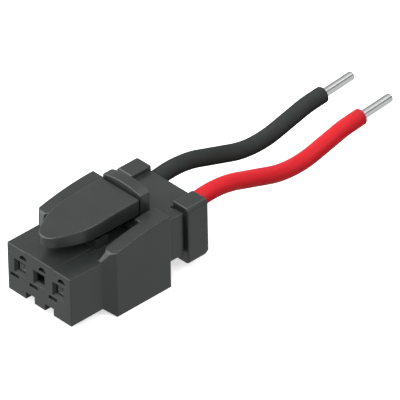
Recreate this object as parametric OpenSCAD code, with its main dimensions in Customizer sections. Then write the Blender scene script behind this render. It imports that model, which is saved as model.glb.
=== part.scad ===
// Three-way rectangular plug socket with a thumb latch and two flying leads.
// Millimetres. The origin is on the mating face, on the axis of the middle way.
// +X is the width, +Y runs from the mating face back to the leads, +Z is up.

/* [Nose] */
// width of the plug nose across the three ways
nose_w = 8.3; // [7.9:0.05:9.2]
// length of the nose from the mating face to the shoulder
nose_len = 3.8; // [3:0.1:5]
// height of the nose
nose_h = 5.05; // [4.8:0.05:5.6]
// step from the underside of the body up to the underside of the nose
nose_step = 0.84; // [0.5:0.02:1.2]
// round of the upright front edges
nose_round = 0.1; // [0.05:0.01:0.6]
// width of the raised strip along the top of the nose
strip_w = 3.7; // [2.5:0.1:4.5]
// height of the raised strip
strip_h = 0.08; // [0.04:0.01:0.15]
// width of the two grooves under the nose
groove_w = 1.08; // [0.7:0.02:1.3]
// depth of the two grooves
groove_d = 0.72; // [0.4:0.02:0.9]

/* [Ways] */
// spacing of the three ways
pitch = 2.5; // [2.4:0.05:2.7]
// height of the ways above the underside of the nose
way_h = 3; // [2.8:0.02:3.1]
// mouth of the square pin funnel
funnel_w = 1.5; // [1.2:0.05:1.6]
// square pin entry behind the funnel
entry_w = 1; // [0.8:0.05:1.1]
// depth of the funnel bevel
funnel_d = 0.25; // [0.15:0.05:0.3]
// thickness of the wall at the mating face
face_wall = 0.45; // [0.4:0.05:1.2]
// radius of the half-round core hole above each entry
arch_r = 0.47; // [0.3:0.01:0.5]
// sideways shift of the half-round hole
arch_x = 0.45; // [0.2:0.05:0.6]
// height of the flat of the half-round hole above the axis of the way
arch_z = 1.02; // [0.9:0.02:1.2]
// length of the thin core slit below each entry
slit_w = 1.05; // [0.7:0.05:1.2]
// height of the thin core slit
slit_h = 0.36; // [0.2:0.01:0.4]
// sideways shift of the slit
slit_x = -0.74; // [-0.8:0.02:-0.3]
// depth of the slit below the axis of the way
slit_z = 1.17; // [1:0.01:1.2]
// depth of the core holes
core_d = 2.4; // [1.5:0.1:3]
// ceiling of the rear ports above the axis of the ways
port_rise = 2.37; // [2.3:0.01:2.6]
// roof left over the rear ports
port_roof = 0.2; // [0.15:0.01:0.4]

/* [Body] */
// width of the body behind the shoulder
body_w = 10.13; // [9.6:0.05:11]
// length of the sloped shoulder
shoulder_len = 0.89; // [0.5:0.05:1.3]
// round of the upright edges behind the shoulder
body_round = 0.2; // [0.1:0.05:0.8]
// length of the body, shoulder left out
body_len = 6.6; // [6.4:0.1:8]
// height of the body at its rear crest
body_h = 7.65; // [7.5:0.05:8.2]
// length of the slope up to the front of each cheek
cheek_len = 0.6; // [0.4:0.02:0.85]
// rise of that slope from the top of the nose
cheek_rise = 0.94; // [0.7:0.02:1.1]
// width of the top of each cheek
cheek_w = 1.5; // [1.2:0.02:1.65]
// cut off the inner front corner of each cheek
cheek_cut = 0.36; // [0.1:0.02:0.5]
// length of the narrow tail of the latch pocket, up to the guard bar
tail_len = 1.25; // [0.9:0.05:2]
// gap between the latch and the tail of its pocket
tail_gap = 0.46; // [0.25:0.02:0.5]

/* [Latch] */
// width of the latch plate
latch_w = 4.88; // [4.2:0.02:5.1]
// distance of the plate's tip behind the mating face
latch_tip = 0.53; // [0.2:0.01:1]
// gap between the plate's rear edge and the guard bar
latch_back = 0.12; // [0.08:0.01:0.5]
// length of the curved part of the plate, seen from above
ogive_len = 4.97; // [4.4:0.05:5.4]
// radius of the curved flanks of the plate
ogive_r = 7.5; // [6.5:0.1:9]
// underside of the plate above the top of the nose
latch_gap = 1.22; // [0.9:0.02:1.5]
// thickness of the plate at its rear edge
latch_t = 1.72; // [1.4:0.02:2]
// radius of the long arc over the top of the plate
latch_arc = 82; // [60:1:120]
// distance of the hinge web behind the shoulder
web_back = 0.05; // [0:0.01:0.5]
// inset of the hinge web from the sides of the plate
web_inset = 0.04; // [0.02:0.01:0.3]
// thickness of the hinge web
web_t = 1.5; // [0.9:0.05:1.8]

/* [Guard bar] */
// width of the crowned bar behind the latch
bar_w = 5; // [4.2:0.05:5.2]
// thickness of the bar from front to rear
bar_t = 1.2; // [0.9:0.02:1.25]
// height of the bar's crown above the body
bar_h = 1.81; // [1.4:0.01:2]
// radius of the crown
crown_r = 8.8; // [7:0.1:14]
// round along the rear of the crown
bar_round = 0.1; // [0.05:0.01:0.4]
// cut off the two upright rear edges of the bar
bar_cut = 0.16; // [0.05:0.01:0.4]

/* [Neck and flange] */
// width of the neck
neck_w = 8.5; // [8.2:0.05:9]
// length of the neck
neck_len = 2.18; // [1.5:0.02:3]
// underside of the neck above the underside of the body
neck_low = 1.9; // [1.6:0.05:2.2]
// width of the relief between neck and flange
relief_w = 0.25; // [0.1:0.01:0.4]
// depth of the relief at the sides and in front of the ears
relief_d = 0.24; // [0.2:0.02:0.45]
// width of the flange
flange_w = 9.44; // [9.1:0.05:10]
// thickness of the flange
flange_t = 2.43; // [2:0.01:3]
// underside of the flange above the underside of the body
flange_low = 0.88; // [0.7:0.02:1.4]
// height of the two ears above the channel
ear_h = 0.54; // [0.35:0.02:0.8]
// width of the channel between the ears
channel_w = 5.3; // [5:0.05:6]
// round along the outer top edge of each ear
ear_round = 0.46; // [0.1:0.02:0.5]
// round along the two lower edges of the flange
flange_round = 0.5; // [0.2:0.02:0.7]
// bevel under the rear of the flange
flange_heel = 0.6; // [0.2:0.02:0.8]

/* [Leads] */
// diameter of the insulation
jacket_d = 1.64; // [1.4:0.02:1.7]
// diameter of the solder-dipped end of the conductor
core_dia = 0.88; // [0.7:0.02:0.96]
// thickness of the solder on the dipped end
solder_t = 0.04; // [0.02:0.01:0.08]
// length of the taper where solder has crept under the insulation
creep_len = 0.6; // [0.55:0.05:1]
// stripped length of the conductor
bare_len = 3.7; // [2.5:0.1:5]

/* [Contacts] */
// outside of the square contact box
box_w = 1.4; // [1.3:0.02:1.45]
// sheet thickness of the contact
sheet_t = 0.18; // [0.12:0.01:0.2]
// length of the contact box
box_len = 4.65; // [3.5:0.05:4.8]
// length of the conductor crimp
crimp_len = 1.3; // [1:0.05:1.6]
// length of the insulation crimp
grip_len = 1.1; // [0.8:0.05:1.4]
// length between the box, the conductor crimp and the insulation crimp
neck_gap = 0.42; // [0.3:0.02:0.6]
// width of the strip that joins the box and its crimps
floor_w = 1; // [0.8:0.05:1.2]
// distance of the spring tongue from both ends of the box
tongue_in = 0.5; // [0.3:0.05:1]
// drop of the spring tongue at its middle
tongue_drop = 0.25; // [0.15:0.01:0.3]
// clearance of a contact at its sides and in front
contact_gap = 0.03; // [0.02:0.01:0.06]
// clearance of the insulation crimp in its port
port_gap = 0.05; // [0.03:0.01:0.1]

/* [Hidden] */
$fn = 48;
e = 0.01;
past = 1;
root = 0.3;
nose_top = nose_step + nose_h;
way_z = nose_step + way_h;
body_y = nose_len + shoulder_len;
rear_y = body_y + body_len;
cheek_y = nose_len + cheek_len;
ramp_len = rear_y - cheek_y;
ramp_drop = body_h - nose_top - cheek_rise;
ramp_r = (ramp_len * ramp_len + ramp_drop * ramp_drop) / (2 * ramp_drop);
bar_y = rear_y - bar_t;
pocket_w = body_w - 2 * cheek_w;
tail_w = latch_w + 2 * tail_gap;
tail_y = bar_y - tail_len;
latch_rear = bar_y - latch_back;
latch_low = nose_top + latch_gap;
latch_top = latch_low + latch_t;
web_y = body_y + web_back;
flank_y = latch_tip + ogive_len;
flank_x = latch_w / 2 - ogive_r;
tip_r = (flank_x * flank_x + ogive_len * ogive_len - ogive_r * ogive_r) / (2 * (ogive_len - ogive_r));
tip_y = latch_tip + tip_r;
join_y = tip_y - tip_r * (flank_y - tip_y) / (ogive_r - tip_r);
port_top = way_z + port_rise;
neck_top = port_top + port_roof;
neck_end = rear_y + neck_len;
flange_y = neck_end + relief_w;
flange_end = flange_y + flange_t;
ear_top = neck_top + ear_h;
jacket_r = jacket_d / 2;
core_r = core_dia / 2;
wire_r = core_r - solder_t;
grip_r = jacket_r + sheet_t;
port_w = 2 * (grip_r + port_gap);
box_y = face_wall + contact_gap;
box_end = box_y + box_len;
crimp_y = box_end + neck_gap;
crimp_end = crimp_y + crimp_len;
grip_y = crimp_end + neck_gap;
grip_end = grip_y + grip_len;
// each lead's route in its upright plane: slope in degrees, straight length, radius of the bend before it
route = [[20, 2.5, 4], [-18.5, 4.2, 10.3], [13.6, 3.1, 10.3], [5, 1.4, 10.3]];
// a bend laps into its neighbours by this angle and is this much thinner, so that they fuse
lap_a = 0.4;
lap_r = 0.01;
// flats that make up a quarter round
round_steps = 6;

module placed() { translate([0, 0, -way_z]) children(); }
module box(x, y, z) { translate([x[0], y[0], z[0]]) cube([x[1] - x[0], y[1] - y[0], z[1] - z[0]]); }
module side(w, pts) { translate([-w / 2, 0, 0]) rotate([90, 0, 90]) linear_extrude(w) polygon(pts); }
module plan(z0, z1, pts) { translate([0, 0, z0]) linear_extrude(z1 - z0) polygon(pts); }
module front(y0, y1, pts) { translate([0, y1, 0]) rotate([90, 0, 0]) linear_extrude(y1 - y0) polygon(pts); }
module across(r, y, z, w, n) {
  translate([-w / 2, y, z]) rotate([0, 90, 0]) cylinder(r = r, h = w, $fn = n);
}
module along(r, y0, y1, x, z, n) {
  translate([x, y1, z]) rotate([90, 0, 0]) cylinder(r = r, h = y1 - y0, $fn = n);
}
module post(r, x, y, z0, z1, n) { translate([x, y, z0]) cylinder(r = r, h = z1 - z0, $fn = n); }

// nose with round upright front edges
module nose() {
  h = nose_w / 2;
  r = nose_round;
  box([-h, h], [r, nose_len + e], [nose_step, nose_top]);
  box([r - h, h - r], [0, r + e], [nose_step, nose_top]);
  for (s = [-1, 1]) post(r, s * (h - r), r, nose_step, nose_top, 48);
}

// body seen from above, with a round where each shoulder turns into the side
module body_plan() {
  h = nose_w / 2;
  b = body_w / 2;
  r = body_round;
  turn = atan2(b - h, shoulder_len);
  y1 = body_y + r * tan(turn / 2);
  edge = [for (i = [0 : round_steps]) let (a = turn * (1 - i / round_steps))
    [b - r + r * cos(a), y1 - r * sin(a)]];
  plan(-past, body_h + past, concat([[-h, nose_len], [h, nose_len]], edge, [[b, rear_y], [-b, rear_y]],
    [for (i = [round_steps : -1 : 0]) [-edge[i][0], edge[i][1]]]));
}

// body with a shoulder on every side and a top that rises to its rear crest
module body() {
  intersection() {
    body_plan();
    side(body_w + past, [[nose_len, nose_step], [body_y, 0], [rear_y, 0], [rear_y, body_h + past],
      [cheek_y, body_h + past], [cheek_y, nose_top + cheek_rise], [nose_len, nose_top]]);
    across(ramp_r, rear_y, body_h - ramp_r, body_w + past, 360);
  }
}

// open pocket that the latch rocks in, with a narrow tail past the guard bar
module pocket() {
  p = pocket_w / 2;
  c = p + cheek_cut;
  y0 = nose_len - past;
  y1 = cheek_y + cheek_cut;
  top = body_h + past;
  plan(nose_top, top, [[-p, y0], [p, y0], [p, nose_len], [c, cheek_y], [p, y1], [p, tail_y],
    [-p, tail_y], [-p, y1], [-c, cheek_y], [-p, nose_len]]);
  box([-tail_w / 2, tail_w / 2], [tail_y - e, rear_y + past], [neck_top, top]);
}

// raised strip on the nose, from the mating face to the hinge web
module strip() {
  box([-strip_w / 2, strip_w / 2], [0, web_y + e], [nose_top - root, nose_top + strip_h]);
}

// bullet-shaped latch plate on its hinge web
module latch() {
  w = latch_w / 2;
  top = latch_top + past;
  intersection() {
    union() {
      box([-w, w], [flank_y, latch_rear], [latch_low, top]);
      intersection() {
        box([-w, w], [join_y, flank_y + e], [latch_low, top]);
        post(ogive_r, flank_x, flank_y, latch_low, top, 240);
        post(ogive_r, -flank_x, flank_y, latch_low, top, 240);
      }
      post(tip_r, 0, tip_y, latch_low, top, 96);
    }
    across(latch_arc, latch_rear, latch_top - latch_arc, latch_w + past, 720);
  }
  box([web_inset - w, w - web_inset], [web_y, web_y + web_t], [nose_top - root, latch_low + e]);
}

// crowned bar that guards the free end of the latch, cut from a disc with a round rear edge
module bar() {
  w = bar_w / 2;
  c = bar_cut;
  r = bar_round;
  top = body_h + bar_h;
  rim = [for (i = [0 : round_steps]) let (a = 90 * i / round_steps)
    [crown_r - r + r * cos(a), rear_y - r + r * sin(a)]];
  intersection() {
    plan(neck_top - root, top + past, [[-w, bar_y - past], [w, bar_y - past], [w, rear_y - c],
      [w - c, rear_y], [c - w, rear_y], [-w, rear_y - c]]);
    translate([0, 0, top - crown_r]) rotate([-90, 0, 0])
      rotate_extrude($fn = 360) polygon(concat([[0, bar_y], [crown_r, bar_y]], rim, [[0, rear_y]]));
  }
}

// neck, held off the ears by a relief that leaves the channel floor whole
module neck() {
  n = neck_w / 2;
  c = channel_w / 2;
  d = relief_d;
  box([-n, n], [rear_y - root, neck_end], [neck_low, neck_top]);
  box([d - n, n - d], [neck_end - e, flange_y + e], [neck_low + d, neck_top - d]);
  box([-c, c], [neck_end - e, flange_y + e], [neck_low + d, neck_top]);
}

// rear flange with round outer edges, a channel between two ears and a bevelled heel
module flange() {
  f = flange_w / 2;
  c = channel_w / 2;
  r = flange_round;
  q = ear_round;
  h = flange_heel + past;
  y = [flange_y, flange_end];
  difference() {
    union() {
      box([-f, f], y, [flange_low + r, ear_top - q]);
      box([r - f, f - r], y, [flange_low, ear_top - q]);
      box([q - f, f - q], y, [flange_low + r, ear_top]);
      for (s = [-1, 1]) {
        along(r, flange_y, flange_end, s * (f - r), flange_low + r, 48);
        along(q, flange_y, flange_end, s * (f - q), ear_top - q, 48);
      }
    }
    box([-c, c], [flange_y - past, flange_end + past], [neck_top, ear_top + past]);
    side(flange_w + past, [[flange_end - h, flange_low - past], [flange_end + past, flange_low - past],
      [flange_end + past, flange_low + h]]);
  }
}

// one way, cut right through: funnel, entry, core holes, contact cavity and rear port
module way(x) {
  f = funnel_w / 2;
  q = entry_w / 2;
  c = box_w / 2;
  p = port_w / 2;
  translate([x, 0, way_z]) {
    box([-f, f], [-past, e], [-f, f]);
    intersection() {
      plan(-f, f, [[-f, 0], [f, 0], [q, funnel_d], [-q, funnel_d]]);
      side(funnel_w, [[0, -f], [0, f], [funnel_d, q], [funnel_d, -q]]);
    }
    box([-q, q], [0, face_wall + e], [-q, q]);
    box([-c - contact_gap, c + contact_gap], [face_wall, box_end + e], [-c, c]);
    side(port_w, [[box_end, -p], [flange_end + past, -p], [flange_end + past, port_rise],
      [flange_end, port_rise], [rear_y, p], [box_end, p]]);
    intersection() {
      along(arch_r, -past, core_d, arch_x, arch_z, 48);
      box([arch_x - arch_r, arch_x + arch_r], [-past, core_d], [arch_z, arch_z + arch_r]);
    }
    box([slit_x - slit_w / 2, slit_x + slit_w / 2], [-past, core_d],
      [-slit_z - slit_h / 2, slit_h / 2 - slit_z]);
  }
}

// groove under the nose between two ways
module groove(x) {
  box([x - groove_w / 2, x + groove_w / 2], [-past, nose_len], [nose_step - past, nose_step + groove_d]);
}

module housing() {
  color([0.24, 0.25, 0.25]) placed() difference() {
    union() {
      difference() {
        union() {
          nose();
          body();
        }
        pocket();
      }
      strip();
      latch();
      bar();
      neck();
      flange();
    }
    for (i = [-1, 0, 1]) way(i * pitch);
    for (s = [-1, 1]) groove(s * pitch / 2);
  }
}

// where a straight stretch and a bend of a lead end, as [y, z]
function past_run(p, a, len) = [p[0] + len * cos(a), p[1] + len * sin(a)];
function past_bend(p, a0, a1, rad) = let (s = a1 > a0 ? 1 : -1)
  [p[0] + s * rad * (sin(a1) - sin(a0)), p[1] + s * rad * (cos(a0) - cos(a1))];
function slope(i) = i < 0 ? 0 : route[i][0];
function bend_start(i) = i == 0 ? [rear_y, way_z] : past_run(bend_end(i - 1), slope(i - 1), route[i - 1][1]);
function bend_end(i) = past_bend(bend_start(i), slope(i - 1), slope(i), route[i][2]);

// straight stretch of a lead from p, at angle a in its upright plane
module run(p, a, len, r) {
  translate([0, p[0], p[1]]) rotate([a - 90, 0, 0]) cylinder(r = r, h = len, $fn = 36);
}

// bend of a lead from p, turning from angle a0 to angle a1
module bend(p, a0, a1, rad, r) {
  s = a1 > a0 ? 1 : -1;
  translate([0, p[0] - s * rad * sin(a0), p[1] + s * rad * cos(a0)]) rotate([90, 0, 90])
    rotate([0, 0, (s > 0 ? a0 - 90 : a1 + 90) - lap_a])
      rotate_extrude(angle = abs(a1 - a0) + 2 * lap_a, $fn = 90)
        translate([rad, 0]) circle(r = r - lap_r, $fn = 36);
}

// a round lead of radius r from y0 to the last straight stretch of its route
module lead(y0, r) {
  last = len(route) - 1;
  run([y0, way_z], 0, rear_y - y0, r);
  for (i = [0 : last]) bend(bend_start(i), slope(i - 1), slope(i), route[i][2], r);
  for (i = [0 : last - 1]) run(bend_end(i), slope(i), route[i][1], r);
}

// conductor from y0: wire, the taper under the end of the insulation, then a dipped end
module conductor(y0, bare) {
  last = len(route) - 1;
  strip_at = route[last][1];
  end = strip_at + bare;
  p = bend_end(last);
  lead(y0, wire_r);
  translate([0, p[0], p[1]]) rotate([slope(last) - 90, 0, 0]) rotate_extrude($fn = 36)
    polygon([[0, 0], [wire_r, 0], [wire_r, strip_at - creep_len], [core_r, strip_at],
      [core_r, end], [0, end]]);
}

// tinned conductor, from its crimp to its stripped end, which is dipped in solder
module core(x) { placed() translate([x, 0, 0]) conductor(crimp_y, bare_len); }

// insulation, from its crimp to where it is stripped
module jacket(x) {
  last = len(route) - 1;
  placed() translate([x, 0, 0]) difference() {
    union() {
      lead(grip_y, jacket_r);
      run(bend_end(last), slope(last), route[last][1], jacket_r);
    }
    conductor(grip_y - past, past);
  }
}

// stamped socket contact: box with a spring tongue, conductor crimp, insulation crimp
module contact(x) {
  b = box_w / 2;
  t = sheet_t;
  crimp_r = wire_r + t;
  t0 = box_y + tongue_in;
  t1 = box_end - tongue_in;
  translate([x, 0, 0]) {
    difference() {
      box([-b, b], [box_y, box_end], [-b, b]);
      box([t - b, b - t], [box_y - past, box_end + past], [t - b, b - t]);
    }
    side(b, [[t0, b - t + e], [(t0 + t1) / 2, b - t - tongue_drop], [t1, b - t + e],
      [t1, b - e], [t0, b - e]]);
    side(floor_w, [[box_end - e, -b], [crimp_y, -crimp_r], [crimp_end, -crimp_r], [grip_y, -grip_r],
      [grip_y + t, -grip_r], [grip_y + t, -jacket_r], [grip_y, -jacket_r], [crimp_end, -wire_r],
      [crimp_y, -wire_r], [box_end - e, t - b]]);
    difference() {
      along(crimp_r, crimp_y, crimp_end, 0, 0, 48);
      along(wire_r, crimp_y - past, crimp_end + past, 0, 0, 48);
    }
    difference() {
      along(grip_r, grip_y, grip_end, 0, 0, 48);
      along(jacket_r, grip_y - past, grip_end + past, 0, 0, 48);
    }
  }
}

module contact_black() { color([0.78, 0.77, 0.74]) contact(-pitch); }
module contact_red() { color([0.78, 0.77, 0.74]) contact(pitch); }
module core_black() { color([0.8, 0.8, 0.8]) core(-pitch); }
module core_red() { color([0.8, 0.8, 0.8]) core(pitch); }
module jacket_black() { color([0.1, 0.1, 0.1]) jacket(-pitch); }
module jacket_red() { color([0.8, 0.1, 0.12]) jacket(pitch); }

housing();
contact_black();
contact_red();
core_black();
core_red();
jacket_black();
jacket_red();
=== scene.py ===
import bmesh
import bpy
import math
from mathutils import Matrix, Vector


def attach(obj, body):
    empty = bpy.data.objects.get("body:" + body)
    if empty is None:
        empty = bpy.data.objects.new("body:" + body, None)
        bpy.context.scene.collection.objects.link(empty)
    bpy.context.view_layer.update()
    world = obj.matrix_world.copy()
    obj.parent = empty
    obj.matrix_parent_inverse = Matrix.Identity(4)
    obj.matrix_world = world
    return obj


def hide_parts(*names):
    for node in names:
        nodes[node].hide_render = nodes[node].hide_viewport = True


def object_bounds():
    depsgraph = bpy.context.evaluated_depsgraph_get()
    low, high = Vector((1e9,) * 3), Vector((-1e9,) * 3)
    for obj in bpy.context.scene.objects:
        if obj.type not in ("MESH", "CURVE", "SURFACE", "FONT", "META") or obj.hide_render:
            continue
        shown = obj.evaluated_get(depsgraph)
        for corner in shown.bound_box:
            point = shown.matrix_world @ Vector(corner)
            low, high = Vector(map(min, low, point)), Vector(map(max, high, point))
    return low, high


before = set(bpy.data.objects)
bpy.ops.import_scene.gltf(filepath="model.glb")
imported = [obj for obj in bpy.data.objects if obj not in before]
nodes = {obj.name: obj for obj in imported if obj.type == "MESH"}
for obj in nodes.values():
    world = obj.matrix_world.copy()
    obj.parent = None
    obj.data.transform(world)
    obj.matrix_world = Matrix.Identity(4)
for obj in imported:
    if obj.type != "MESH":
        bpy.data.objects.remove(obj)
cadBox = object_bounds()
mm = 0.001
print("frame loaded:", sorted(nodes))


def hexColour(code):
    # sRGB hex to the linear colour that the shaders work in
    parts = [int(code[i:i + 2], 16) / 255 for i in (1, 3, 5)]
    linear = [c / 12.92 if c <= 0.04045 else ((c + 0.055) / 1.055) ** 2.4 for c in parts]
    return linear + [1.0]


def addNode(tree, kind, inputs=None, **settings):
    node = tree.nodes.new(kind)
    for key, value in settings.items():
        setattr(node, key, value)
    for key, value in (inputs or {}).items():
        if isinstance(value, bpy.types.NodeSocket):
            tree.links.new(value, node.inputs[key])
        else:
            node.inputs[key].default_value = value
    return node


def newMaterial(name):
    material = bpy.data.materials.new(name)
    material.use_nodes = True
    material.node_tree.nodes.clear()
    return material, material.node_tree


def deselectAll():
    if bpy.context.object and bpy.context.object.mode != "OBJECT":
        bpy.ops.object.mode_set(mode="OBJECT")
    bpy.ops.object.select_all(action="DESELECT")


def makeActive(piece):
    deselectAll()
    piece.select_set(True)
    bpy.context.view_layer.objects.active = piece


# the camera looks at the mating face from the front right and above, with a very long lens
view = {"azimuth": 47.17, "elevation": 35.203, "roll": -1.0,  # degrees
        "distance": 0.6363, "aim": (0.004261, 0.015604, 0.003058), "clipEnd": 10,  # metres
        "pixelsPerMm": 11.248, "imageSize": 400, "sensor": 36.0}


def placeCamera(shot):
    azimuth, elevation, roll = (math.radians(shot[k]) for k in ("azimuth", "elevation", "roll"))
    level = Vector((math.cos(azimuth), math.sin(azimuth), 0))
    ahead = Vector((-math.sin(azimuth), math.cos(azimuth), 0))
    back = Vector((0, 0, 1)) * math.sin(elevation) - ahead * math.cos(elevation)
    upright = back.cross(level)
    right = level * math.cos(roll) + upright * math.sin(roll)
    up = upright * math.cos(roll) - level * math.sin(roll)
    data = bpy.data.cameras.new("camera")
    data.sensor_width = shot["sensor"]
    focalPixels = shot["pixelsPerMm"] * shot["distance"] / mm
    data.lens = shot["sensor"] * focalPixels / shot["imageSize"]
    data.clip_end = shot["clipEnd"]
    camera = bpy.data.objects.new("camera", data)
    bpy.context.scene.collection.objects.link(camera)
    turn = Matrix((right, up, back)).transposed().to_4x4()
    camera.matrix_world = Matrix.Translation(Vector(shot["aim"]) + back * shot["distance"]) @ turn
    bpy.context.scene.camera = camera


placeCamera(view)
print("camera placed")

# each lead's route in mm, as in the part's source
leadRoute = {"pitch": 2.5,  # from the middle way to each lead
             "rearFace": 11.29,  # rear of the body, where the first bend starts
             "flangeEnd": 16.15,  # where the lead comes out of the housing
             "ring": 0.3,  # spacing of the mesh's rings
             # slope in degrees, straight length and radius of the bend before it
             "stretches": ((20, 2.5, 4), (-18.5, 4.2, 10.3), (13.6, 3.1, 10.3), (5, 1.4, 10.3))}


def leadPath(x, startY, extra):
    # points along the centre line from startY, with the last stretch longer by extra
    points = [Vector((x, startY, 0))]

    def straight(slope, length):
        count = max(1, round(length / leadRoute["ring"]))
        step = Vector((0, math.cos(slope), math.sin(slope))) * (length / count)
        for _ in range(count):
            points.append(points[-1] + step)

    straight(0, leadRoute["rearFace"] - startY)
    slope = 0.0
    stretches = leadRoute["stretches"]
    for i, (degrees, length, radius) in enumerate(stretches):
        target = math.radians(degrees)
        side = 1 if target > slope else -1
        count = max(2, round(abs(target - slope) * radius / leadRoute["ring"]))
        start = points[-1]
        first = slope
        for k in range(1, count + 1):
            slope = first + (target - first) * k / count
            points.append(start + Vector((0, math.sin(slope) - math.sin(first),
                                          math.cos(first) - math.cos(slope))) * radius * side)
        straight(slope, length + (extra if i == len(stretches) - 1 else 0))
    return [p * mm for p in points]


def pathLength(points):
    return sum((b - a).length for a, b in zip(points, points[1:]))


# insulation of each lead in mm, a soft extruded tube with its cut rim eased
jacketRod = {"radius": 0.82, "under": 1.0, "ease": 0.1, "startY": 7.27, "bare": 0.0, "dipped": 0.0}
# conductor of each lead in mm, dipped in solder so that its strands hardly show,
# and about a tenth thinner under the insulation
coreRod = {"radius": 0.44, "under": 0.91, "ease": 0.09, "startY": 5.55, "bare": 3.7, "dipped": 3.8}
# what both have alike: roundness, merging distance in mm, steps of the eased rim, angles in degrees
rodFinish = {"roundness": 7, "merge": 0.001, "easeSteps": 3, "easeAngle": 50, "smoothAngle": 35}
jackets = {}
cores = {}


def makeRod(name, points, rod, finish):
    # a round rod along the points, with its cut ends eased
    data = bpy.data.curves.new(name, "CURVE")
    data.dimensions = "3D"
    spline = data.splines.new("POLY")
    spline.points.add(len(points) - 1)
    left = pathLength(points)
    for i, (place, p) in enumerate(zip(spline.points, points)):
        left -= (p - points[i - 1]).length if i else 0
        place.co = (*p, 1)
        place.radius = 1 if left < rod["dipped"] * mm else rod["under"]
    data.bevel_depth = rod["radius"] * mm
    data.bevel_resolution = finish["roundness"]
    data.use_fill_caps = True
    piece = bpy.data.objects.new(name, data)
    bpy.context.scene.collection.objects.link(piece)
    makeActive(piece)
    bpy.ops.object.convert(target="MESH")
    piece = bpy.context.object
    bpy.ops.object.mode_set(mode="EDIT")
    bpy.ops.mesh.select_all(action="SELECT")
    bpy.ops.mesh.remove_doubles(threshold=finish["merge"] * mm)
    bpy.ops.mesh.normals_make_consistent(inside=False)
    bpy.ops.object.mode_set(mode="OBJECT")
    bpy.ops.object.modifier_add(type="BEVEL")
    ease = piece.modifiers[-1]
    ease.width = rod["ease"] * mm
    ease.segments = finish["easeSteps"]
    ease.limit_method = "ANGLE"
    ease.angle_limit = math.radians(finish["easeAngle"])
    ease.use_clamp_overlap = False
    bpy.ops.object.modifier_apply(modifier=ease.name)
    bpy.ops.object.shade_smooth_by_angle(angle=math.radians(finish["smoothAngle"]))
    return piece


def makeLead(colour, x):
    corePoints = leadPath(x, coreRod["startY"], coreRod["bare"])
    core = makeRod("conductor_" + colour, corePoints, coreRod, rodFinish)
    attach(core, "root")
    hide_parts("core_" + colour)
    points = leadPath(x, jacketRod["startY"], jacketRod["bare"])
    jacket = makeRod("insulation_" + colour, points, jacketRod, rodFinish)
    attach(jacket, "root")
    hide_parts("jacket_" + colour)
    jackets[colour] = jacket
    cores[colour] = core


makeLead("black", -leadRoute["pitch"])
makeLead("red", leadRoute["pitch"])
print("leads made")

# moulded housing: the CAD shape with its edges eased as a steel mould leaves them,
# and finer where the detail is small; widths in mm, angles in degrees
housingEdge = {"width": 0.17, "hollow": 0.05, "steps": 3, "angle": 28, "merge": 0.0005, "flat": 0.5,
               # low corner, high corner and width of each place with finer edges; the first that fits holds
               "fine": (((-3.4, -0.1, -0.9), (3.4, 0.05, 0.9), 0.009),  # shallow lips of the pin entries
                        ((-3.9, -0.1, -3.2), (3.9, 3.9, 1.9), 0.05),  # openings of the ways
                        ((-2, 0.2, 1.9), (2, 4.9, 2.3), 0.03),  # strip on the nose
                        ((-4.3, -0.1, -3.2), (4.3, 3.75, 2.3), 0.07),  # outside of the nose
                        ((-2.8, 15.9, 2.3), (2.8, 16.3, 2.8), 0.07),  # thin roof at the rear of the ways
                        ((-5, 15.4, -3.1), (5, 16.3, -2.2), 0.05),  # heel of the flange
                        ((-5, 15.9, -3), (5, 16.3, 4), 0.1),  # rear of the flange
                        ((-3.9, 0.2, -1.2), (3.9, 16.3, 2.45), 0.04),  # inside of the ways
                        ((-5, 13.3, -3), (5, 13.65, 4), 0.05),  # relief behind the neck
                        ((-2.6, 4.6, 1.7), (2.6, 6.4, 3.2), 0.03),  # hinge web
                        ((-5.2, 3.7, -4), (5.2, 11.4, -2.9), 0.06),  # underside of the body
                        ((-5.2, 3.7, 1.9), (-2.7, 11.4, 3.95), 0.15),  # left cheek
                        ((2.7, 3.7, 1.9), (5.2, 11.4, 3.95), 0.15),  # right cheek
                        ((-2.6, 9.9, 3.5), (2.6, 10.3, 5.8), 0.11),  # front of the guard bar
                        ((-2.6, 10.95, 3.5), (2.6, 11.4, 5.8), 0.05))}  # rear of the guard bar


def easeWidth(edge, middle, hollow):
    for low, high, width in edge["fine"]:
        if all(a <= m / mm <= b for a, m, b in zip(low, middle, high)):
            return width
    return edge["hollow"] if hollow else edge["width"]


def makeHousing(edge):
    sharp = math.radians(edge["angle"])
    makeActive(nodes["housing"])
    bpy.ops.object.duplicate()
    piece = bpy.context.object
    piece.name = "moulded_housing"
    makeActive(piece)
    bpy.ops.object.mode_set(mode="EDIT")
    bpy.ops.mesh.select_all(action="SELECT")
    bpy.ops.mesh.remove_doubles(threshold=edge["merge"] * mm)
    bpy.ops.mesh.dissolve_limited(angle_limit=math.radians(edge["flat"]))
    bpy.ops.object.mode_set(mode="OBJECT")
    bpy.ops.mesh.customdata_custom_splitnormals_clear()
    bpy.ops.object.shade_smooth_by_angle(angle=sharp)
    # each sharp edge gets its own width, as a share of the widest
    shape = bmesh.new()
    shape.from_mesh(piece.data)
    weight = shape.edges.layers.float.new("bevel_weight_edge")
    for line in shape.edges:
        if line.calc_face_angle(0) > sharp:
            middle = (line.verts[0].co + line.verts[1].co) / 2
            line[weight] = easeWidth(edge, middle, not line.is_convex) / edge["width"]
    shape.to_mesh(piece.data)
    shape.free()
    bpy.ops.object.modifier_add(type="BEVEL")
    ease = piece.modifiers[-1]
    ease.width = edge["width"] * mm
    ease.segments = edge["steps"]
    ease.limit_method = "WEIGHT"
    ease.use_clamp_overlap = False
    ease.harden_normals = True
    bpy.ops.object.modifier_apply(modifier=ease.name)
    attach(piece, "root")
    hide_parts("housing")
    return piece


housing = makeHousing(housingEdge)
print("housing made:", len(housing.data.polygons), "faces")

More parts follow.
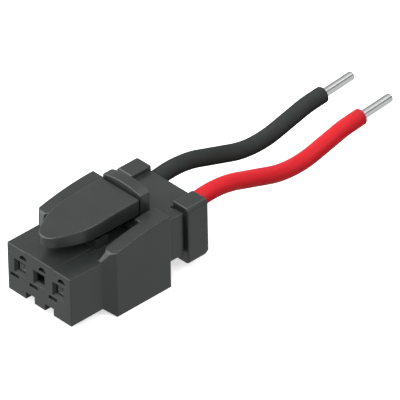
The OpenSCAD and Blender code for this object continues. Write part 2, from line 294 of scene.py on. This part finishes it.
# pale floor under the body's flat underside: to the camera it is white with a soft shadow,
# and to the part it is dim, but bright where the part mirrors it
floorLook = {"width": 1.2, "gap": 0.02,  # metres; mm below the part
             "seen": "#f2f2f1", "unseen": "#404040", "light": "#ffffff",
             "glow": 0.62, "bounce": 0.06, "mirrored": 0.65}


def makeFloor(look):
    low = cadBox[0][2]
    deselectAll()
    bpy.ops.mesh.primitive_plane_add(size=look["width"], location=(0, 0, low - look["gap"] * mm))
    floor = bpy.context.object
    floor.name = "floor"
    material, tree = newMaterial("pale_paper_sweep")
    path = addNode(tree, "ShaderNodeLightPath")
    colour = addNode(tree, "ShaderNodeMix", {
        "Factor": path.outputs["Is Camera Ray"],
        "A": hexColour(look["unseen"]), "B": hexColour(look["seen"])}, data_type="RGBA")
    paper = addNode(tree, "ShaderNodeBsdfDiffuse", {"Color": colour.outputs["Result"]})
    # the paper glows by a different amount for each kind of ray
    rays = {"Is Glossy Ray": "mirrored", "Is Diffuse Ray": "bounce", "Is Camera Ray": "glow"}
    glow = 0.0
    for ray, strength in rays.items():
        glow = addNode(tree, "ShaderNodeMath", {0: path.outputs[ray], 1: look[strength], 2: glow},
                       operation="MULTIPLY_ADD").outputs[0]
    light = addNode(tree, "ShaderNodeEmission", {"Color": hexColour(look["light"]), "Strength": glow})
    both = addNode(tree, "ShaderNodeAddShader", {0: paper.outputs[0], 1: light.outputs[0]})
    addNode(tree, "ShaderNodeOutputMaterial", {"Surface": both.outputs[0]})
    floor.data.materials.append(material)


makeFloor(floorLook)

# soft studio light: a broad lamp over the front left, weaker ones over the front right and the right side,
# and a faint one over the rear; places and sizes in metres
lamps = {"key": {"at": (-0.44, -0.38, 0.48), "size": 0.85, "power": 7.4},
         "top": {"at": (0.14, -0.36, 0.6), "size": 0.5, "power": 2.4},
         "side": {"at": (0.5, 0.12, 0.46), "size": 0.3, "power": 1.3},
         "back": {"at": (-0.05, 0.42, 0.6), "size": 0.35, "power": 0.5}}
lampAim = (0, 0.01, 0)
# even white room, a little brighter where it is mirrored and pure white behind the floor
room = {"colour": "#ffffff", "matt": 0.42, "mirrored": 0.51, "seen": 1.0}


def makeLamp(name, lamp):
    data = bpy.data.lights.new(name, "AREA")
    data.size = lamp["size"]
    data.energy = lamp["power"]
    light = bpy.data.objects.new(name, data)
    bpy.context.scene.collection.objects.link(light)
    light.location = lamp["at"]
    towards = Vector(lampAim) - Vector(lamp["at"])
    light.rotation_euler = towards.to_track_quat("-Z", "Y").to_euler()


def makeRoom(look):
    world = bpy.data.worlds.new("room")
    bpy.context.scene.world = world
    world.use_nodes = True
    tree = world.node_tree
    tree.nodes.clear()
    path = addNode(tree, "ShaderNodeLightPath")
    walls = {}
    for kind in ("matt", "mirrored", "seen"):
        walls[kind] = addNode(tree, "ShaderNodeBackground", {
            "Color": hexColour(look["colour"]), "Strength": look[kind]}).outputs[0]
    inner = addNode(tree, "ShaderNodeMixShader", {
        0: path.outputs["Is Glossy Ray"], 1: walls["matt"], 2: walls["mirrored"]})
    mix = addNode(tree, "ShaderNodeMixShader", {
        0: path.outputs["Is Camera Ray"], 1: inner.outputs[0], 2: walls["seen"]})
    addNode(tree, "ShaderNodeOutputWorld", {"Surface": mix.outputs[0]})


for name, lamp in lamps.items():
    makeLamp(name, lamp)
makeRoom(room)
bpy.context.scene.view_settings.view_transform = "Standard"
print("floor and light set")

# a noise texture keeps mostly between these values
noiseRange = {"From Min": 0.3, "From Max": 0.7}

# glass-filled nylon, injection moulded: a dull dark grey skin with a very fine mould grain
nylonLook = {"dark": "#242726", "light": "#323635", "rough": (0.28, 0.34), "ior": 1.53, "shine": 0.5,
             "grain": 0.09,  # mm; drawn coarser than the real grain, which would not show
             "grainDepth": 0.012, "grainStrength": 0.16,
             "flow": 2.2, "flowShare": 0.45,  # mm; cloudy tone from the flow of the melt
             # centre and reach in mm of the openings of the ways, which the core pins left coarser
             "inside": (("X", 0.0, 3.9), ("Y", 2.0, 1.98), ("Z", -0.5, 2.4)),
             "insideRough": 0.22, "insideShine": -0.3}  # both are added to the outside's


def nylonMaterial(look):
    material, tree = newMaterial("moulded_nylon")
    place = addNode(tree, "ShaderNodeTexCoord").outputs["Object"]
    grain = addNode(tree, "ShaderNodeTexNoise", {
        "Vector": place, "Scale": 1 / (look["grain"] * mm), "Detail": 3.0, "Roughness": 0.6})
    flow = addNode(tree, "ShaderNodeTexNoise", {
        "Vector": place, "Scale": 1 / (look["flow"] * mm), "Detail": 2.0, "Roughness": 0.5})
    both = addNode(tree, "ShaderNodeMix", {
        "Factor": look["flowShare"], "A": grain.outputs["Fac"], "B": flow.outputs["Fac"]})
    colour = addNode(tree, "ShaderNodeMix", {
        "Factor": both.outputs["Result"],
        "A": hexColour(look["dark"]), "B": hexColour(look["light"])}, data_type="RGBA")
    dull = addNode(tree, "ShaderNodeMapRange", {
        "Value": flow.outputs["Fac"], **noiseRange,
        "To Min": look["rough"][0], "To Max": look["rough"][1]})
    axes = addNode(tree, "ShaderNodeSeparateXYZ", {0: place})
    inside = 1.0
    for axis, centre, reach in look["inside"]:
        within = addNode(tree, "ShaderNodeMath", {
            0: axes.outputs[axis], 1: centre * mm, 2: reach * mm}, operation="COMPARE")
        inside = addNode(tree, "ShaderNodeMath", {
            0: within.outputs[0], 1: inside}, operation="MULTIPLY").outputs[0]
    coarse = addNode(tree, "ShaderNodeMath", {
        0: inside, 1: look["insideRough"], 2: dull.outputs[0]}, operation="MULTIPLY_ADD")
    shine = addNode(tree, "ShaderNodeMath", {
        0: inside, 1: look["insideShine"], 2: look["shine"]}, operation="MULTIPLY_ADD")
    bump = addNode(tree, "ShaderNodeBump", {
        "Height": grain.outputs["Fac"],
        "Strength": look["grainStrength"], "Distance": look["grainDepth"] * mm})
    skin = addNode(tree, "ShaderNodeBsdfPrincipled", {
        "Base Color": colour.outputs["Result"], "Roughness": coarse.outputs[0], "IOR": look["ior"],
        "Specular IOR Level": shine.outputs[0], "Normal": bump.outputs[0]})
    addNode(tree, "ShaderNodeOutputMaterial", {"Surface": skin.outputs[0]})
    return material


# plasticised PVC insulation, extruded: an even colour with a soft sheen and faint lines drawn along it
vinylLook = {"rough": (0.45, 0.57), "ior": 1.52,
             "lines": 0.12, "stretch": 0.06,  # mm across the lines, and share of that pace along them
             "linesDepth": 0.01, "linesStrength": 0.1,
             "mottle": 1.4, "mottleShare": 0.6,  # mm; faint cloudiness of the pigment
             "glowDepth": 6.0, "glowTint": (1.0, 0.25, 0.2)}  # mm that light spreads under the red skin
vinylColours = {"black": {"dark": "#2f3231", "light": "#3d403f", "shine": 0.0, "glow": 0.0},
                "red": {"dark": "#b91d28", "light": "#c72630", "shine": 0.12, "glow": 1.0}}


def vinylMaterial(name, look, pigment):
    material, tree = newMaterial(name)
    place = addNode(tree, "ShaderNodeTexCoord").outputs["Object"]
    along = addNode(tree, "ShaderNodeMapping", {"Vector": place, "Scale": (1.0, look["stretch"], 1.0)})
    lines = addNode(tree, "ShaderNodeTexNoise", {
        "Vector": along.outputs[0], "Scale": 1 / (look["lines"] * mm), "Detail": 2.0})
    mottle = addNode(tree, "ShaderNodeTexNoise", {
        "Vector": place, "Scale": 1 / (look["mottle"] * mm), "Detail": 3.0})
    both = addNode(tree, "ShaderNodeMix", {
        "Factor": look["mottleShare"], "A": lines.outputs["Fac"], "B": mottle.outputs["Fac"]})
    colour = addNode(tree, "ShaderNodeMix", {
        "Factor": both.outputs["Result"],
        "A": hexColour(pigment["dark"]), "B": hexColour(pigment["light"])}, data_type="RGBA")
    dull = addNode(tree, "ShaderNodeMapRange", {
        "Value": mottle.outputs["Fac"], **noiseRange,
        "To Min": look["rough"][0], "To Max": look["rough"][1]})
    bump = addNode(tree, "ShaderNodeBump", {
        "Height": lines.outputs["Fac"],
        "Strength": look["linesStrength"], "Distance": look["linesDepth"] * mm})
    skin = addNode(tree, "ShaderNodeBsdfPrincipled", {
        "Base Color": colour.outputs["Result"], "Roughness": dull.outputs[0], "IOR": look["ior"],
        "Specular IOR Level": pigment["shine"], "Normal": bump.outputs[0],
        "Subsurface Weight": pigment["glow"], "Subsurface Scale": look["glowDepth"] * mm,
        "Subsurface Radius": look["glowTint"]})
    addNode(tree, "ShaderNodeOutputMaterial", {"Surface": skin.outputs[0]})
    return material


# solder-dipped copper: a soft pale metal, with the strands' lines, one painted dark reflection streak
# through the tin, and a darker painted reflection tone on the crown beside it
tinLook = {"tin": "#dcdedd", "pale": "#eceeed", "crown": "#b9bbba", "darkReflection": "#6a6d6c",
           "rough": (0.32, 0.42)}
# tin plate on the pressed contacts: pale and duller, with no dark reflection streak, and a slightly lighter
# painted reflection tone on the crown
plateLook = {"tin": "#c9cccb", "pale": "#e0e2e1", "crown": "#d4d7d6", "darkReflection": "#c9cccb",
             "rough": (0.5, 0.62)}
# pattern of both: the painted dark reflection streak lies on the upper right of each lead, and the painted
# reflection tone on the crown between two streaks
tinPattern = {"strands": 0.16, "stretch": 0.05,  # mm across the strands, and share of that pace along them
              "strandsDepth": 0.02, "strandsStrength": 0.25,
              "bloom": 0.5,  # mm; patches where the tin is duller
              "apart": 0.625, "turn": 3.096,  # mm between painted reflection streaks, and radians that put one in place
              "darkReflectionEnd": 0.08, "crownStart": 0.15, "crownFull": 0.6}  # heights of the wave
waveRadians = 20  # a wave texture turns by this for each unit of its scale


def tinMaterial(name, look, pattern):
    material, tree = newMaterial(name)
    place = addNode(tree, "ShaderNodeTexCoord").outputs["Object"]
    along = addNode(tree, "ShaderNodeMapping", {"Vector": place, "Scale": (1.0, pattern["stretch"], 1.0)})
    strands = addNode(tree, "ShaderNodeTexNoise", {
        "Vector": along.outputs[0], "Scale": 1 / (pattern["strands"] * mm), "Detail": 2.0})
    bloom = addNode(tree, "ShaderNodeTexNoise", {
        "Vector": place, "Scale": 1 / (pattern["bloom"] * mm), "Detail": 3.0})
    wave = addNode(tree, "ShaderNodeTexWave", {
        "Vector": place, "Phase Offset": pattern["turn"],
        "Scale": 2 * math.pi / (waveRadians * pattern["apart"] * mm)}, bands_direction="X")
    # painted reflection: a thin dark streak along each lead, where the wave is lowest
    line = addNode(tree, "ShaderNodeMapRange", {
        "Value": wave.outputs["Fac"], "From Min": 0.0, "From Max": pattern["darkReflectionEnd"]},
        interpolation_type="SMOOTHSTEP")
    # painted reflection: a band of tone over the crown between two streaks, darker on the tinned leads and
    # lighter on the plate
    crown = addNode(tree, "ShaderNodeMapRange", {
        "Value": wave.outputs["Fac"], "From Min": pattern["crownStart"], "From Max": pattern["crownFull"]})
    metal = addNode(tree, "ShaderNodeMix", {
        "Factor": strands.outputs["Fac"],
        "A": hexColour(look["tin"]), "B": hexColour(look["pale"])}, data_type="RGBA")
    toned = addNode(tree, "ShaderNodeMix", {
        "Factor": crown.outputs[0],
        "A": metal.outputs["Result"], "B": hexColour(look["crown"])}, data_type="RGBA")
    colour = addNode(tree, "ShaderNodeMix", {
        "Factor": line.outputs[0],
        "A": hexColour(look["darkReflection"]), "B": toned.outputs["Result"]}, data_type="RGBA")
    rough = addNode(tree, "ShaderNodeMapRange", {
        "Value": bloom.outputs["Fac"], **noiseRange,
        "To Min": look["rough"][0], "To Max": look["rough"][1]})
    bump = addNode(tree, "ShaderNodeBump", {
        "Height": strands.outputs["Fac"],
        "Strength": pattern["strandsStrength"], "Distance": pattern["strandsDepth"] * mm})
    skin = addNode(tree, "ShaderNodeBsdfPrincipled", {
        "Base Color": colour.outputs["Result"], "Metallic": 1.0,
        "Roughness": rough.outputs[0], "Normal": bump.outputs[0]})
    addNode(tree, "ShaderNodeOutputMaterial", {"Surface": skin.outputs[0]})
    return material


def paint(piece, material):
    piece.data.materials.clear()
    piece.data.materials.append(material)


paint(housing, nylonMaterial(nylonLook))
tin = tinMaterial("tinned_copper", tinLook, tinPattern)
plate = tinMaterial("tin_plate", plateLook, tinPattern)
for colour, pigment in vinylColours.items():
    paint(jackets[colour], vinylMaterial(colour + "_vinyl", vinylLook, pigment))
    paint(cores[colour], tin)
    paint(nodes["contact_" + colour], plate)
print("materials made")
